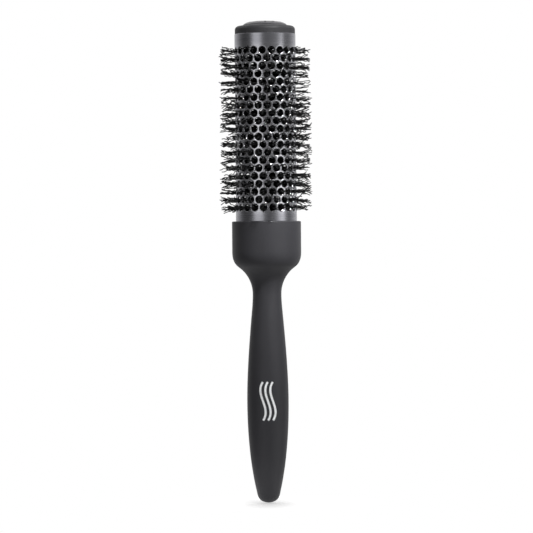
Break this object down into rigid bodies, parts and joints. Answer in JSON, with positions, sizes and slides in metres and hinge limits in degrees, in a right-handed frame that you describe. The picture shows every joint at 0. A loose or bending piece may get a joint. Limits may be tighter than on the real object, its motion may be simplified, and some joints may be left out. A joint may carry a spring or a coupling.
{
  "type": "round hair brush",
  "caption": "Round barrel hair brush: perforated metal barrel with nylon bristles, vented end cap and soft-grip tapered handle, for blow-drying and curling hair.",
  "frame": {"origin": "on the brush's axis, at the middle of the collar's straight cylindrical band", "axes": "+Z along the axis from the handle to the end cap; -Y towards the front, where the mark is printed; +X to the right as seen from the front"},
  "size_m": [0.047, 0.0472, 0.2526],
  "materials": {
    "grip_rubber": "soft-touch matte, charcoal",
    "core_plastic": "moulded, black",
    "barrel_metal": "satin gunmetal anodised, finely brushed around the barrel",
    "wire_steel": "bright drawn wire",
    "cap_plastic": "fine matte, dark charcoal",
    "vent_plastic": "satin, purplish grey",
    "bristle_nylon": "glossy black crimped nylon",
    "mark_ink": "pad-printed ink, off-white"
  },
  "bodies": {
    "root": {"barrel_base_plug": "core_plastic", "barrel_tube": "barrel_metal", "bristle_row_01": "bristle_nylon", "bristle_row_02": "bristle_nylon", "bristle_row_03": "bristle_nylon", "bristle_row_04": "bristle_nylon", "bristle_row_05": "bristle_nylon", "bristle_row_06": "bristle_nylon", "bristle_row_07": "bristle_nylon", "bristle_row_08": "bristle_nylon", "bristle_row_09": "bristle_nylon", "bristle_row_10": "bristle_nylon", "bristle_row_11": "bristle_nylon", "bristle_row_12": "bristle_nylon", "bristle_row_13": "bristle_nylon", "bristle_row_14": "bristle_nylon", "bristle_row_15": "bristle_nylon", "bristle_row_16": "bristle_nylon", "bristle_row_17": "bristle_nylon", "bristle_row_18": "bristle_nylon", "bristle_row_19": "bristle_nylon", "bristle_row_20": "bristle_nylon", "bristle_row_21": "bristle_nylon", "core_wire_a": "wire_steel", "core_wire_b": "wire_steel", "end_cap": "cap_plastic", "grip_skin": "grip_rubber", "handle_core": "core_plastic", "printed_mark": "mark_ink", "vent_dome": "vent_plastic", "wire_ferrule_bottom": "wire_steel", "wire_ferrule_top": "wire_steel"}
  },
  "joints": []
}
